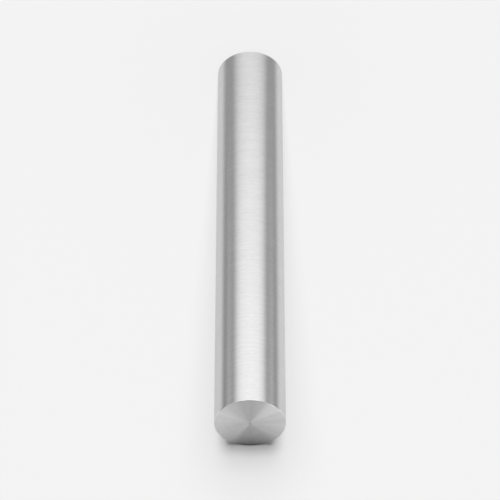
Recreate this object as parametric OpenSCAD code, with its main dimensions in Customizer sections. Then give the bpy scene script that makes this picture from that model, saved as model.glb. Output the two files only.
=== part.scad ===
// A plain round steel bar, cut to length and turned true. Both ends are faced
// square to the axis and have their sharp corners broken, so the bar stands
// on either end. It is one piece. The origin is the centre of the foot face,
// and the bar rises along +Z.

/* [Bar] */
// Diameter over the ground outside
rod_d = 10; // [4:0.5:40]
// Length over the two faced ends
rod_l = 70; // [20:1:300]

/* [Broken edges] */
// Width of each broken edge, across the end face
break_w = 0.1; // [0.05:0.05:0.6]
// Height of each broken edge, along the bar
break_h = 0.1; // [0.05:0.05:0.6]

/* [Hidden] */

// Segments round the bar in the preview
$fn = 128;

rod_r = rod_d / 2;
// Radius of the flat that is left on each end
face_r = rod_r - break_w;

// Half section of one faced end, from the axis out to the ground outside, for
// an end face at height z. into is 1 where the bar lies above the face and
// -1 where it lies below.
function faced_end(z, into) = [
    [0, z],
    [face_r, z],
    [rod_r, z + into * break_h]
];

// The same points in the opposite order
function reversed(points) =
    [for (i = [len(points) - 1 : -1 : 0]) points[i]];

// Half section of the whole bar: out along the foot, up the ground outside
// and back in along the top
function bar_section() = concat(
    faced_end(0, 1),
    reversed(faced_end(rod_l, -1))
);

module rod() {
    color("silver")
        rotate_extrude()
            polygon(bar_section());
}

rod();
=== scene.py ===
"""Ground steel rod: one round bar with faced ends and broken edges, standing on a pale studio floor."""

import math

import bmesh
import bpy
from mathutils import Matrix, Vector


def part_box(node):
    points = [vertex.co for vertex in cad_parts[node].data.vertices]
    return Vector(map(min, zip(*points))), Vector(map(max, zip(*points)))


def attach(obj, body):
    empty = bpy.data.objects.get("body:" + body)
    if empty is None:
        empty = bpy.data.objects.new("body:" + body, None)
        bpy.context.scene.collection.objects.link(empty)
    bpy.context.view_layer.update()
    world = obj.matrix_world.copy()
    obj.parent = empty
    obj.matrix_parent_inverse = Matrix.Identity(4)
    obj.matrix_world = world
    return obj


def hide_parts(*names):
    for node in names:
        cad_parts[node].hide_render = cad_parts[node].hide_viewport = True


MM = 0.001

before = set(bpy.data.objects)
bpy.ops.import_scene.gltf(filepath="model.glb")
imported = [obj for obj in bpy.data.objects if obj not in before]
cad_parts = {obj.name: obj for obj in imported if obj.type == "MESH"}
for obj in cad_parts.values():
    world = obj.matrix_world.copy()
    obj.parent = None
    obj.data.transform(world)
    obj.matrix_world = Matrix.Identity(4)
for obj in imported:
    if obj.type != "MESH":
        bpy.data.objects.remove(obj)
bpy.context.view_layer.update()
ROD_LOW, ROD_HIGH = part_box("rod")

# The bar, in metres
ROD_R = ROD_HIGH.x
ROD_L = ROD_HIGH.z - ROD_LOW.z
EDGE_BREAK = 0.1 * MM

# How finely the bar is cut into faces
AROUND = 256
EDGE_STEPS = 4
ROWS_PER_BAND = 16
BANDS = 3
ROW_H = (ROD_L - 2 * EDGE_BREAK) / (BANDS * ROWS_PER_BAND)
WELD = 0.0005 * MM
SHARP = math.radians(5)


# Node helpers


def add(tree, kind, **settings):
    node = tree.nodes.new(kind)
    for key, value in settings.items():
        setattr(node, key, value)
    return node


def feed(tree, socket, value):
    """Links a socket to another socket's value, or sets it to a plain number."""
    if isinstance(value, bpy.types.NodeSocket):
        tree.links.new(value, socket)
    else:
        socket.default_value = value


def maths(tree, operation, *values):
    node = add(tree, "ShaderNodeMath", operation=operation)
    for socket, value in zip(node.inputs, values):
        feed(tree, socket, value)
    return node.outputs[0]


def vector_maths(tree, operation, *values):
    node = add(tree, "ShaderNodeVectorMath", operation=operation)
    for socket, value in zip(node.inputs, values):
        feed(tree, socket, value)
    return node.outputs["Value" if operation == "LENGTH" else "Vector"]


def split(tree, vector):
    node = add(tree, "ShaderNodeSeparateXYZ")
    feed(tree, node.inputs[0], vector)
    return node.outputs


def combine(tree, x, y, z):
    node = add(tree, "ShaderNodeCombineXYZ")
    for socket, value in zip(node.inputs, (x, y, z)):
        feed(tree, socket, value)
    return node.outputs[0]


def span(tree, value, start, end, out=(0.0, 1.0), kind="SMOOTHSTEP"):
    """Carries a value from one range to another, and holds it at the ends."""
    node = add(tree, "ShaderNodeMapRange", interpolation_type=kind)
    for socket, number in zip(node.inputs, (value, start, end, *out)):
        feed(tree, socket, number)
    return node.outputs[0]


def blend(tree, factor, a, b):
    node = add(tree, "ShaderNodeMix", data_type="FLOAT")
    for socket, value in zip((node.inputs[0], node.inputs[2], node.inputs[3]), (factor, a, b)):
        feed(tree, socket, value)
    return node.outputs[0]


def total(tree, *values):
    result = values[0]
    for value in values[1:]:
        result = maths(tree, "ADD", result, value)
    return result


def grey(tree, value):
    node = add(tree, "ShaderNodeCombineColor")
    for socket in node.inputs:
        feed(tree, socket, value)
    return node.outputs[0]


def new_material(name):
    material = bpy.data.materials.new(name)
    material.use_nodes = True
    material.node_tree.nodes.clear()
    return material, material.node_tree


def new_group(name, kind, inputs, outputs):
    """A node group whose inputs are given as (label, type, start value) and its outputs as (label, type)."""
    group = bpy.data.node_groups.new(name, kind)
    for label, socket_type, start in inputs:
        socket = group.interface.new_socket(label, in_out="INPUT", socket_type=socket_type)
        if start is not None:
            socket.default_value = start
    for label, socket_type in outputs:
        group.interface.new_socket(label, in_out="OUTPUT", socket_type=socket_type)
    return group, add(group, "NodeGroupInput").outputs, add(group, "NodeGroupOutput").inputs


def place_group(tree, group, **values):
    node = add(tree, "ShaderNodeGroup", node_tree=group)
    for label, value in values.items():
        feed(tree, node.inputs[label], value)
    return node.outputs


# The bar's shape: a half section turned round the axis

CORNERS = 4


def half_section(tree, given):
    """The section from the middle of the foot, out, up the side and back in to the middle of the top.

    It is swept along the bar's outside, so its own x runs outwards from there and its -y runs up.
    """
    points = add(tree, "GeometryNodePoints")
    points.inputs["Count"].default_value = CORNERS
    index = add(tree, "GeometryNodeInputIndex").outputs[0]
    outer = maths(tree, "MINIMUM", maths(tree, "MODULO", index, CORNERS - 1.0), 1.0)
    upper = maths(tree, "GREATER_THAN", index, (CORNERS - 1) / 2)
    corner = combine(
        tree,
        maths(tree, "MULTIPLY", maths(tree, "SUBTRACT", outer, 1.0), given["Radius"]),
        maths(tree, "MULTIPLY", maths(tree, "MULTIPLY", upper, -1.0), given["Length"]),
        0.0,
    )
    placed = add(tree, "GeometryNodeSetPosition")
    feed(tree, placed.inputs["Geometry"], points.outputs[0])
    feed(tree, placed.inputs["Position"], corner)
    curve = add(tree, "GeometryNodePointsToCurves")
    feed(tree, curve.inputs[0], placed.outputs[0])
    broken = add(tree, "GeometryNodeFilletCurve", mode="POLY")
    feed(tree, broken.inputs["Curve"], curve.outputs[0])
    feed(tree, broken.inputs["Radius"], given["Break"])
    feed(tree, broken.inputs["Count"], given["Edge Steps"])
    return broken.outputs[0]


def cut_long_runs(tree, section, spacing):
    """Cuts each straight run of the section into rows of about the given height."""
    here = add(tree, "GeometryNodeInputPosition").outputs[0]
    after = add(tree, "GeometryNodeInputIndex").outputs[0]
    after = maths(tree, "ADD", after, 1.0)
    there = add(tree, "GeometryNodeFieldAtIndex", data_type="FLOAT_VECTOR")
    feed(tree, there.inputs["Value"], here)
    feed(tree, there.inputs["Index"], after)
    run = vector_maths(tree, "LENGTH", vector_maths(tree, "SUBTRACT", there.outputs[0], here))
    rows = maths(tree, "ROUND", maths(tree, "DIVIDE", run, spacing))
    cut = add(tree, "GeometryNodeSubdivideCurve")
    feed(tree, cut.inputs["Curve"], section)
    feed(tree, cut.inputs["Cuts"], maths(tree, "SUBTRACT", rows, 1.0))
    return cut.outputs[0]


def turned_bar_tree():
    tree, given, out = new_group(
        "turned bar",
        "GeometryNodeTree",
        [
            ("Radius", "NodeSocketFloat", ROD_R),
            ("Length", "NodeSocketFloat", ROD_L),
            ("Break", "NodeSocketFloat", EDGE_BREAK),
            ("Row Height", "NodeSocketFloat", ROW_H),
            ("Around", "NodeSocketInt", AROUND),
            ("Edge Steps", "NodeSocketInt", EDGE_STEPS),
            ("Finish", "NodeSocketMaterial", None),
        ],
        [("Geometry", "NodeSocketGeometry")],
    )
    section = cut_long_runs(tree, half_section(tree, given), given["Row Height"])
    circle = add(tree, "GeometryNodeCurvePrimitiveCircle", mode="RADIUS")
    feed(tree, circle.inputs["Resolution"], given["Around"])
    feed(tree, circle.inputs["Radius"], given["Radius"])
    turned = add(tree, "GeometryNodeCurveToMesh")
    feed(tree, turned.inputs["Curve"], circle.outputs[0])
    feed(tree, turned.inputs["Profile Curve"], section)
    outward = add(tree, "GeometryNodeFlipFaces")
    feed(tree, outward.inputs["Mesh"], turned.outputs[0])
    welded = add(tree, "GeometryNodeMergeByDistance")
    feed(tree, welded.inputs["Geometry"], outward.outputs[0])
    feed(tree, welded.inputs["Distance"], WELD)
    smooth = add(tree, "GeometryNodeSetShadeSmooth", domain="FACE")
    feed(tree, smooth.inputs["Geometry"], welded.outputs[0])
    angle = add(tree, "GeometryNodeInputMeshEdgeAngle").outputs[0]
    sharp = add(tree, "GeometryNodeSetShadeSmooth", domain="EDGE")
    feed(tree, sharp.inputs["Geometry"], smooth.outputs[0])
    feed(tree, sharp.inputs["Selection"], maths(tree, "GREATER_THAN", angle, SHARP))
    sharp.inputs["Shade Smooth"].default_value = False
    real = add(tree, "GeometryNodeRealizeInstances")
    feed(tree, real.inputs[0], sharp.outputs[0])
    finished = add(tree, "GeometryNodeSetMaterial")
    feed(tree, finished.inputs["Geometry"], real.outputs[0])
    feed(tree, finished.inputs["Material"], given["Finish"])
    feed(tree, out["Geometry"], finished.outputs[0])
    return tree


def set_inputs(modifier, **values):
    """Sets a tree's inputs by their sockets' identifiers."""
    for item in modifier.node_group.interface.items_tree:
        if item.in_out == "INPUT" and item.name in values:
            modifier[item.identifier] = values[item.name]


def turned_bar(name, finish):
    """The tree's result as a plain mesh, with the modifier taken off."""
    obj = bpy.data.objects.new(name, bpy.data.meshes.new(name))
    bpy.context.scene.collection.objects.link(obj)
    modifier = obj.modifiers.new("turned bar", "NODES")
    modifier.node_group = turned_bar_tree()
    set_inputs(modifier, Finish=finish)
    evaluated = obj.evaluated_get(bpy.context.evaluated_depsgraph_get())
    mesh = bpy.data.meshes.new_from_object(evaluated)
    obj.modifiers.clear()
    obj.data = mesh
    mesh.name = name
    return obj


# The bar's map for baking: the side in three long bands, and above them the two ends

MAP_ROW = 0.25
MAP_GAP = 0.01
MAP_H = MAP_ROW - 2 * MAP_GAP
MAP_W = 1 - 2 * MAP_GAP
LEVEL_FACE = 0.999


def share_of_turn(point):
    return math.atan2(point.y, point.x) / (2 * math.pi)


def on_band(point, middle):
    """Runs along the map with the height, and across it with the turn, next to the middle of its face."""
    band_l = ROD_L / BANDS
    band = min(int(middle.z / band_l), BANDS - 1)
    near = share_of_turn(middle)
    share = share_of_turn(point)
    share -= round(share - near)
    along = (point.z - band * band_l) / band_l
    return MAP_GAP + MAP_W * along, MAP_ROW * (band + 0.5) + MAP_H * share


def on_end(point, middle):
    column = 1 if middle.z > ROD_L / 2 else 0
    scale = MAP_H / (2 * ROD_R)
    return MAP_ROW * (column + 0.5) + scale * point.x, MAP_ROW * (BANDS + 0.5) + scale * point.y


def add_bake_map(mesh):
    layer = mesh.uv_layers.new(name="OFBake")
    for face in mesh.polygons:
        place = on_end if abs(face.normal.z) > LEVEL_FACE else on_band
        for corner in face.loop_indices:
            point = mesh.vertices[mesh.loops[corner].vertex_index].co
            layer.uv[corner].vector = place(point, face.center)


# The finish: grinding lines run round the bar, and facing lines run round each end; the ends also carry
# painted highlight fans

STEEL = 0.66
STEEL_ROUGH = 0.31
STEEL_GRAIN = 0.95
QUARTER_TURN = 0.25
LINE_DEPTH = 0.0008 * MM
SEED_STEP = 37.0
# Each set of lines: its width, and how fast and how finely it changes round the bar
LINE_SETS = {
    "fine": {"Width": 0.15 * MM, "Drift": 1.6, "Detail": 2.0, "Seed": 1.0},
    "middling": {"Width": 0.36 * MM, "Drift": 1.1, "Detail": 2.0, "Seed": 2.0},
    "broad": {"Width": 1.7 * MM, "Drift": 0.8, "Detail": 3.0, "Seed": 3.0},
    "streaks": {"Width": 0.2 * MM, "Drift": 7.0, "Detail": 1.0, "Seed": 5.0},
    # painted_highlight_rays: tone that changes round each faced end, painted light and shade standing in for
    # the bright and dark fans of highlight there
    "painted_highlight_rays": {"Width": 60 * MM, "Drift": 4.0, "Detail": 1.0, "Seed": 204.0},
}
# The middling lines that are cut deep, the noise that counts as a scratch, and where scratches gather
DEEP_LINES = (0.66, 0.74)
SCRATCHES = (0.52, 0.7)
SCRATCHED_PATCHES = (0.48, 0.62)
WEAR_WIDTH = 0.22 * MM
WEAR_NOISE = (0.35, 0.65)
WEAR_VARIES = (0.6, 1.4)
PIP_RADIUS = (0.12 * MM, 0.3 * MM)
# Facing leaves half as much of the lines on the ends as grinding leaves on the side
END_QUIET = 0.5
# How much each mark changes the steel's tone and roughness, and its height in steps of the line depth
GROUND_TONE = {"fine": 0.12, "middling": 0.06, "streaks": 0.1}
BROAD_TONE = {"broad": 0.04}
# Painted highlight fans on the faced ends: bright and dark sectors of painted light and shade in the steel's
# tone
PAINTED_FAN_TONE = {"painted_highlight_rays": 0.16}
MARK_TONE = {"deep": -0.05, "scratches": 0.03, "wear": 0.03, "pip": -0.1}
LINE_ROUGH = {"broad": 0.04, "fine": 0.06}
MARK_ROUGH = {"scratches": 0.02, "wear": -0.04}
RELIEF = {"fine": 1.0, "middling": 1.5, "deep": -2.0, "scratches": -0.3, "pip": -4.0}


def turned_place_group():
    """A point's distance from the axis, its way along the bar's section, and its direction from the axis."""
    group, given, out = new_group(
        "place on the bar",
        "ShaderNodeTree",
        [("Vector", "NodeSocketVector", None)],
        [("Radius", "NodeSocketFloat"), ("Run", "NodeSocketFloat"), ("Direction", "NodeSocketVector")],
    )
    x, y, z = split(group, given["Vector"])
    level = combine(group, x, y, 0.0)
    radius = vector_maths(group, "LENGTH", level)
    feed(group, out["Radius"], radius)
    feed(group, out["Run"], maths(group, "SUBTRACT", z, radius))
    feed(group, out["Direction"], vector_maths(group, "NORMALIZE", level))
    return group


def turned_lines_group(place):
    """Uneven lines round the axis, from 0 to 1; Drift says how fast they change round the bar."""
    group, given, out = new_group(
        "turned lines",
        "ShaderNodeTree",
        [
            ("Vector", "NodeSocketVector", None),
            ("Width", "NodeSocketFloat", 0.2 * MM),
            ("Drift", "NodeSocketFloat", 2.0),
            ("Detail", "NodeSocketFloat", 2.0),
            ("Seed", "NodeSocketFloat", 0.0),
        ],
        [("Lines", "NodeSocketFloat")],
    )
    here = place_group(group, place, Vector=given["Vector"])
    x, y, _ = split(group, here["Direction"])
    shift = maths(group, "MULTIPLY", given["Seed"], SEED_STEP)
    across = maths(group, "ADD", maths(group, "DIVIDE", here["Run"], given["Width"]), shift)
    round_x = maths(group, "MULTIPLY", x, given["Drift"])
    round_y = maths(group, "MULTIPLY", y, given["Drift"])
    noise = add(group, "ShaderNodeTexNoise", noise_dimensions="3D")
    feed(group, noise.inputs["Vector"], combine(group, round_x, round_y, across))
    feed(group, noise.inputs["Scale"], 1.0)
    feed(group, noise.inputs["Detail"], given["Detail"])
    feed(group, out["Lines"], noise.outputs[0])
    return group


def edge_wear_group(place):
    """A mask of the rubbed line along both broken edges, uneven in width round the bar."""
    group, given, out = new_group(
        "edge wear",
        "ShaderNodeTree",
        [
            ("Vector", "NodeSocketVector", None),
            ("Radius", "NodeSocketFloat", ROD_R),
            ("Length", "NodeSocketFloat", ROD_L),
            ("Width", "NodeSocketFloat", 0.2 * MM),
            ("Patch", "NodeSocketFloat", 1.5 * MM),
        ],
        [("Wear", "NodeSocketFloat")],
    )
    here = place_group(group, place, Vector=given["Vector"])
    z = split(group, given["Vector"])[2]
    inside = maths(group, "SUBTRACT", given["Radius"], here["Radius"])
    to_end = maths(group, "MINIMUM", z, maths(group, "SUBTRACT", given["Length"], z))
    distance = maths(group, "ADD", inside, to_end)
    noise = add(group, "ShaderNodeTexNoise", noise_dimensions="3D")
    feed(group, noise.inputs["Vector"], given["Vector"])
    feed(group, noise.inputs["Scale"], maths(group, "DIVIDE", 1.0, given["Patch"]))
    uneven = span(group, noise.outputs[0], *WEAR_NOISE, out=WEAR_VARIES)
    width = maths(group, "MULTIPLY", given["Width"], uneven)
    feed(group, out["Wear"], span(group, distance, 0.0, width, out=(1.0, 0.0)))
    return group


def scratches_group():
    """Fine straight scratches that cross the bar at a slant, gathered in faint patches."""
    group, given, out = new_group(
        "scratches",
        "ShaderNodeTree",
        [
            ("Vector", "NodeSocketVector", None),
            ("Slant", "NodeSocketFloat", math.radians(35)),
            ("Width", "NodeSocketFloat", 0.15 * MM),
            ("Length", "NodeSocketFloat", 3.0 * MM),
            ("Patch", "NodeSocketFloat", 5.0 * MM),
        ],
        [("Scratches", "NodeSocketFloat")],
    )
    x, y, z = split(group, given["Vector"])
    around = maths(group, "MULTIPLY", maths(group, "ARCTAN2", y, x), ROD_R)
    cosine = maths(group, "COSINE", given["Slant"])
    sine = maths(group, "SINE", given["Slant"])
    along = maths(group, "MULTIPLY_ADD", z, sine, maths(group, "MULTIPLY", around, cosine))
    along = maths(group, "DIVIDE", along, given["Length"])
    back = maths(group, "MULTIPLY", around, sine)
    across = maths(group, "SUBTRACT", maths(group, "MULTIPLY", z, cosine), back)
    across = maths(group, "DIVIDE", across, given["Width"])
    lines = add(group, "ShaderNodeTexNoise", noise_dimensions="2D")
    feed(group, lines.inputs["Vector"], combine(group, along, across, 0.0))
    feed(group, lines.inputs["Scale"], 1.0)
    patches = add(group, "ShaderNodeTexNoise", noise_dimensions="3D")
    feed(group, patches.inputs["Vector"], given["Vector"])
    feed(group, patches.inputs["Scale"], maths(group, "DIVIDE", 1.0, given["Patch"]))
    feed(group, patches.inputs["Detail"], 1.0)
    scratches = span(group, lines.outputs[0], *SCRATCHES)
    where = span(group, patches.outputs[0], *SCRATCHED_PATCHES)
    feed(group, out["Scratches"], maths(group, "MULTIPLY", scratches, where))
    return group


def changes(tree, marks, amounts):
    """The sum of some marks, each times its own amount."""
    return total(tree, *[maths(tree, "MULTIPLY", marks[name], amount) for name, amount in amounts.items()])


def steel_material():
    place = turned_place_group()
    line_group = turned_lines_group(place)
    material, tree = new_material("ground steel")
    spot = add(tree, "ShaderNodeTexCoord").outputs["Object"]
    radius = place_group(tree, place, Vector=spot)["Radius"]
    on_end = maths(tree, "GREATER_THAN", maths(tree, "SUBTRACT", ROD_R, radius), EDGE_BREAK / 2)
    quiet = maths(tree, "MULTIPLY_ADD", on_end, -END_QUIET, 1.0)

    marks = {}
    for name, values in LINE_SETS.items():
        marks[name] = place_group(tree, line_group, Vector=spot, **values)["Lines"]
    swings = {name: maths(tree, "SUBTRACT", lines, 0.5) for name, lines in marks.items()}
    marks["deep"] = span(tree, marks["middling"], *DEEP_LINES)
    marks["wear"] = place_group(tree, edge_wear_group(place), Vector=spot, Width=WEAR_WIDTH)["Wear"]
    marks["scratches"] = place_group(tree, scratches_group(), Vector=spot)["Scratches"]
    marks["pip"] = span(tree, radius, *PIP_RADIUS, out=(1.0, 0.0))

    tone = total(
        tree,
        STEEL,
        maths(tree, "MULTIPLY", changes(tree, swings, GROUND_TONE), quiet),
        # Painted light and shade: the highlight fans on the faced ends
        maths(tree, "MULTIPLY", changes(tree, swings, PAINTED_FAN_TONE), on_end),
        changes(tree, swings, BROAD_TONE),
        changes(tree, marks, MARK_TONE),
    )
    rough = total(tree, STEEL_ROUGH, changes(tree, swings, LINE_ROUGH), changes(tree, marks, MARK_ROUGH))
    unworn = maths(tree, "SUBTRACT", 1.0, marks["wear"])
    height = maths(tree, "MULTIPLY", changes(tree, marks, RELIEF), maths(tree, "MULTIPLY", quiet, unworn))
    bump = add(tree, "ShaderNodeBump")
    feed(tree, bump.inputs["Height"], height)
    bump.inputs["Distance"].default_value = LINE_DEPTH

    shader = add(tree, "ShaderNodeBsdfPrincipled")
    shader.inputs["Metallic"].default_value = 1
    shader.inputs["Anisotropic"].default_value = STEEL_GRAIN
    shader.inputs["Anisotropic Rotation"].default_value = QUARTER_TURN
    tangent = add(tree, "ShaderNodeTangent", direction_type="RADIAL", axis="Z")
    feed(tree, shader.inputs["Base Color"], grey(tree, tone))
    feed(tree, shader.inputs["Roughness"], rough)
    feed(tree, shader.inputs["Normal"], bump.outputs[0])
    feed(tree, shader.inputs["Tangent"], tangent.outputs[0])
    feed(tree, add(tree, "ShaderNodeOutputMaterial").inputs[0], shader.outputs[0])
    return material


rod = turned_bar("steel_rod", steel_material())
add_bake_map(rod.data)
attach(rod, "root")
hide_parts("rod")


# The stage: a pale floor, an even dome of light and three far lamps in front of the bar

PALE = 0.9
FLOOR_HALF = 6.0
LAMPS = {
    "key": {"share": 0.4, "elevation": math.radians(38.1), "spread": math.radians(1.5)},
    "low key": {"share": 0.11, "elevation": math.radians(36.7), "spread": math.radians(2)},
    "fill": {"share": 0.31, "elevation": math.radians(35.8), "spread": math.radians(9)},
}
LAMP_SHARE = sum(lamp["share"] for lamp in LAMPS.values())


def sheet(name, corners):
    mesh = bpy.data.meshes.new(name)
    mesh.from_pydata(corners, [], [(0, 1, 2, 3)])
    return mesh


def stage_piece(name, mesh, material):
    mesh.materials.append(material)
    obj = bpy.data.objects.new(name, mesh)
    bpy.context.scene.collection.objects.link(obj)
    return obj


def floor():
    h = FLOOR_HALF
    mesh = sheet("floor", [(-h, -h, 0), (h, -h, 0), (h, h, 0), (-h, h, 0)])
    material, tree = new_material("pale floor")
    shader = add(tree, "ShaderNodeBsdfDiffuse")
    shader.inputs["Color"].default_value = (PALE, PALE, PALE, 1)
    feed(tree, add(tree, "ShaderNodeOutputMaterial").inputs[0], shader.outputs[0])
    stage_piece("floor", mesh, material).visible_glossy = False


def room():
    """Lights the object with what the lamps leave over, and shows pale to the eye and in metal."""
    world = bpy.data.worlds.new("room")
    bpy.context.scene.world = world
    world.use_nodes = True
    tree = world.node_tree
    tree.nodes.clear()
    path = add(tree, "ShaderNodeLightPath").outputs
    seen = maths(tree, "MAXIMUM", path["Is Camera Ray"], path["Is Glossy Ray"])
    seen = maths(tree, "MAXIMUM", seen, path["Is Transmission Ray"])
    glow = add(tree, "ShaderNodeBackground")
    feed(tree, glow.inputs["Color"], (1, 1, 1, 1))
    feed(tree, glow.inputs["Strength"], blend(tree, seen, 1 - LAMP_SHARE, PALE))
    feed(tree, add(tree, "ShaderNodeOutputWorld").inputs[0], glow.outputs[0])


def lamp(name, share, elevation, spread):
    """A far lamp in front of the bar that gives the floor its share of the light."""
    data = bpy.data.lights.new(name, "SUN")
    data.energy = share * math.pi / math.sin(elevation)
    data.angle = spread
    obj = bpy.data.objects.new(name, data)
    bpy.context.scene.collection.objects.link(obj)
    towards = Vector((0, math.cos(elevation), -math.sin(elevation)))
    obj.rotation_mode = "QUATERNION"
    obj.rotation_quaternion = towards.to_track_quat("-Z", "Y")
    obj.visible_glossy = False


# Two plates that nothing shows: one behind the bar squares off the end of its shadow, and a low one
# with soft edges holds the lamps off the shadow's tip
SHADE_HALF = 4.9 * MM
SHADE_H = 69.6 * MM
TIP_H = 0.4 * MM
TIP_START = 88.5 * MM
TIP_HALF = (3.2 * MM, 4.8 * MM)
TIP_END = (91.4 * MM, 92.3 * MM)


def unseen_plate(name, corners, cover):
    """A black plate that only casts a shadow; cover builds how much of the light it stops."""
    material, tree = new_material(name)
    black = add(tree, "ShaderNodeBsdfDiffuse")
    black.inputs["Color"].default_value = (0, 0, 0, 1)
    mixed = add(tree, "ShaderNodeMixShader")
    feed(tree, mixed.inputs[0], cover(tree))
    feed(tree, mixed.inputs[1], add(tree, "ShaderNodeBsdfTransparent").outputs[0])
    feed(tree, mixed.inputs[2], black.outputs[0])
    feed(tree, add(tree, "ShaderNodeOutputMaterial").inputs[0], mixed.outputs[0])
    obj = stage_piece(name, sheet(name, corners), material)
    obj.visible_camera = False
    obj.visible_diffuse = False
    obj.visible_glossy = False
    obj.visible_transmission = False


def full_cover(_tree):
    return 1.0


def tip_cover(tree):
    """Full in the middle, and fading out towards both sides and the far edge."""
    x, y, _ = split(tree, add(tree, "ShaderNodeTexCoord").outputs["Object"])
    across = span(tree, maths(tree, "ABSOLUTE", x), *TIP_HALF, out=(1.0, 0.0))
    return maths(tree, "MULTIPLY", across, span(tree, y, *TIP_END, out=(1.0, 0.0)))


def shade_plates():
    w, y, h = SHADE_HALF, ROD_R, SHADE_H
    unseen_plate("shade plate", [(-w, y, 0), (w, y, 0), (w, y, h), (-w, y, h)], full_cover)
    w, near, far, h = TIP_HALF[1], TIP_START, TIP_END[1], TIP_H
    unseen_plate("tip plate", [(-w, near, h), (w, near, h), (w, far, h), (-w, far, h)], tip_cover)


# What the steel reflects: a light tent round the bar, and a glowing white card with painted shade at its foot
# behind its top

TENT_R = 160 * MM
TENT_CUTS = 128
HALF_TURN = 180
# Degrees round from the front of the tent, and the light there: a bright front, a strip between two
# dark flags on each side, and pale cloth behind
HIGH_WALL = [
    (0, 1.64), (24, 1.58), (39, 1.24), (47, 0.68), (54, 0.36), (67, 0.72), (75, 0.59), (82, 0.11), (89, 0.12),
    (95, 0.8), (102, 0.96), (112, 0.94), (125, 0.88), (140, 0.85), (152, 0.74), (180, 0.82),
]
LOW_WALL = [
    (0, 0.74), (46, 0.58), (55, 0.94), (60, 0.8), (68, 0.24), (82, 0.18), (89, 0.32), (95, 0.86), (102, 1.0),
    (112, 0.96), (125, 0.9), (140, 0.86), (152, 0.76), (180, 0.76),
]
# The low wall's light holds below the first of these heights, and the high wall's above the second
LOW_FROM = math.radians(-60)
HIGH_FROM = math.radians(-28)
# Above the flags the front is bright, and the back is lit from one side
TOP_FROM = math.radians(20)
TOP_FULL = math.radians(45)
TOP_FRONT = 1.15
TOP_BACK = 1.0
TOP_TILT = -0.93
# Where the front's light gives way to the back's, as shares of the tent's radius along Y
BACK_FROM = -0.5
BACK_FULL = -0.05
# A dark roof, which comes lower over the front than over the back
ROOF_LEVEL = 0.03
ROOF_OVER_FRONT = math.radians(42)
ROOF_OVER_BACK = math.radians(58)
ROOF_FADE = math.radians(20)
# The front of the tent leans a little towards -X
FRONT_LEAN = math.radians(0.7)
BRIGHTEST = 2.0


def wall_light(tree, share, stops):
    """The tent's light by its share of the half turn from front to back."""
    ramp = add(tree, "ShaderNodeValToRGB")
    points = ramp.color_ramp.elements
    while len(points) < len(stops):
        points.new(1.0)
    for point, (degrees, level) in zip(points, stops):
        point.position = degrees / HALF_TURN
        point.color = (level / BRIGHTEST,) * 3 + (1,)
    feed(tree, ramp.inputs[0], share)
    return maths(tree, "MULTIPLY", ramp.outputs[0], BRIGHTEST)


def glowing(tree, level):
    """Light that the steel shows, and that it doesn't throw on to the floor."""
    bounced = add(tree, "ShaderNodeLightPath").outputs["Diffuse Depth"]
    direct = maths(tree, "LESS_THAN", bounced, 0.5)
    glow = add(tree, "ShaderNodeEmission")
    feed(tree, glow.inputs["Color"], (1, 1, 1, 1))
    feed(tree, glow.inputs["Strength"], blend(tree, direct, 1 - LAMP_SHARE, level))
    feed(tree, add(tree, "ShaderNodeOutputMaterial").inputs[0], glow.outputs[0])


def only_reflected(obj):
    obj.visible_camera = False
    obj.visible_diffuse = False
    obj.visible_shadow = False
    obj.visible_transmission = False


def tent():
    bm = bmesh.new()
    bmesh.ops.create_uvsphere(bm, u_segments=TENT_CUTS, v_segments=TENT_CUTS // 2, radius=TENT_R)
    mesh = bpy.data.meshes.new("tent")
    bm.to_mesh(mesh)
    bm.free()
    material, tree = new_material("tent cloth")
    spot = add(tree, "ShaderNodeTexCoord").outputs["Object"]
    x, y, z = split(tree, vector_maths(tree, "NORMALIZE", spot))
    turn = maths(tree, "ADD", maths(tree, "ARCTAN2", x, maths(tree, "MULTIPLY", y, -1.0)), FRONT_LEAN)
    share = maths(tree, "DIVIDE", maths(tree, "ABSOLUTE", turn), math.pi)
    rise = maths(tree, "ARCSINE", z)
    high = span(tree, rise, LOW_FROM, HIGH_FROM, kind="LINEAR")
    wall = blend(tree, high, wall_light(tree, share, LOW_WALL), wall_light(tree, share, HIGH_WALL))
    tilted = maths(tree, "MULTIPLY_ADD", x, TOP_BACK * TOP_TILT, TOP_BACK)
    top = blend(tree, span(tree, y, BACK_FROM, BACK_FULL), TOP_FRONT, tilted)
    wall = blend(tree, span(tree, rise, TOP_FROM, TOP_FULL), wall, top)
    edge = span(tree, y, BACK_FROM, BACK_FULL, out=(ROOF_OVER_FRONT, ROOF_OVER_BACK))
    roof = span(tree, rise, edge, maths(tree, "ADD", edge, ROOF_FADE))
    glowing(tree, blend(tree, roof, wall, ROOF_LEVEL))
    material.cycles.emission_sampling = "NONE"
    obj = stage_piece("tent", mesh, material)
    obj.location.z = ROD_L / 2
    only_reflected(obj)


CARD_H = 13.5 * MM
CARD_HALF = 40 * MM
# The card's light at its foot, and how much it grows by for each metre up
CARD_LEVEL = 0.8
CARD_RISE = 18.0
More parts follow.
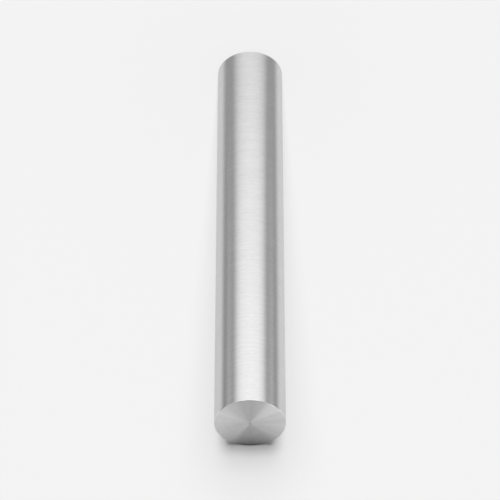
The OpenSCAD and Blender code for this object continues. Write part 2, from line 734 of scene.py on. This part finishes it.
# The painted shade at the foot: how fast it fades upwards, its half width from full shade to none, and its
# taper
CARD_FOOT = 3.75 * MM
FOOT_HALF = (1.5 * MM, 8.2 * MM)
FOOT_NARROWS = 0.75


def card():
    """A glowing card behind the top of the bar, with painted shade at its foot, which the back of the faced
    end reflects as shade.
    """
    w = CARD_HALF
    mesh = sheet("card", [(-w, 0, 0), (w, 0, 0), (w, 0, CARD_H), (-w, 0, CARD_H)])
    material, tree = new_material("card with painted foot shade")
    x, _, z = split(tree, add(tree, "ShaderNodeTexCoord").outputs["Object"])
    foot = maths(tree, "POWER", math.e, maths(tree, "DIVIDE", z, -CARD_FOOT))
    across = maths(tree, "MULTIPLY_ADD", z, FOOT_NARROWS, maths(tree, "ABSOLUTE", x))
    middle = span(tree, across, *FOOT_HALF, out=(1.0, 0.0))
    shade = maths(tree, "MULTIPLY", foot, middle)
    level = maths(tree, "MULTIPLY_ADD", z, CARD_RISE, CARD_LEVEL)
    glowing(tree, maths(tree, "MULTIPLY", maths(tree, "SUBTRACT", 1.0, shade), level))
    material.cycles.emission_sampling = "NONE"
    obj = stage_piece("card", mesh, material)
    obj.location = (0, ROD_R, ROD_L)
    only_reflected(obj)


floor()
room()
for name, settings in LAMPS.items():
    lamp(name, **settings)
shade_plates()
tent()
card()


# The camera looks down along the front of the bar, with its top end nearest and lowest in the frame

CAMERA_AT = Vector((0, -297.0, 311.16)) * MM
CAMERA_DIP = math.radians(42.687)
CAMERA_LENS = 197.76
CAMERA_SENSOR = 36
CAMERA_CLIP = (0.01, 20)


def camera():
    data = bpy.data.cameras.new("camera")
    data.sensor_width = CAMERA_SENSOR
    data.lens = CAMERA_LENS
    data.clip_start, data.clip_end = CAMERA_CLIP
    obj = bpy.data.objects.new("camera", data)
    bpy.context.scene.collection.objects.link(obj)
    right = Vector((-1, 0, 0))
    up = Vector((0, -math.sin(CAMERA_DIP), -math.cos(CAMERA_DIP)))
    pose = Matrix((right, up, right.cross(up))).transposed().to_4x4()
    pose.translation = CAMERA_AT
    obj.matrix_world = pose
    bpy.context.scene.camera = obj


camera()
bpy.context.scene.view_settings.view_transform = "Standard"
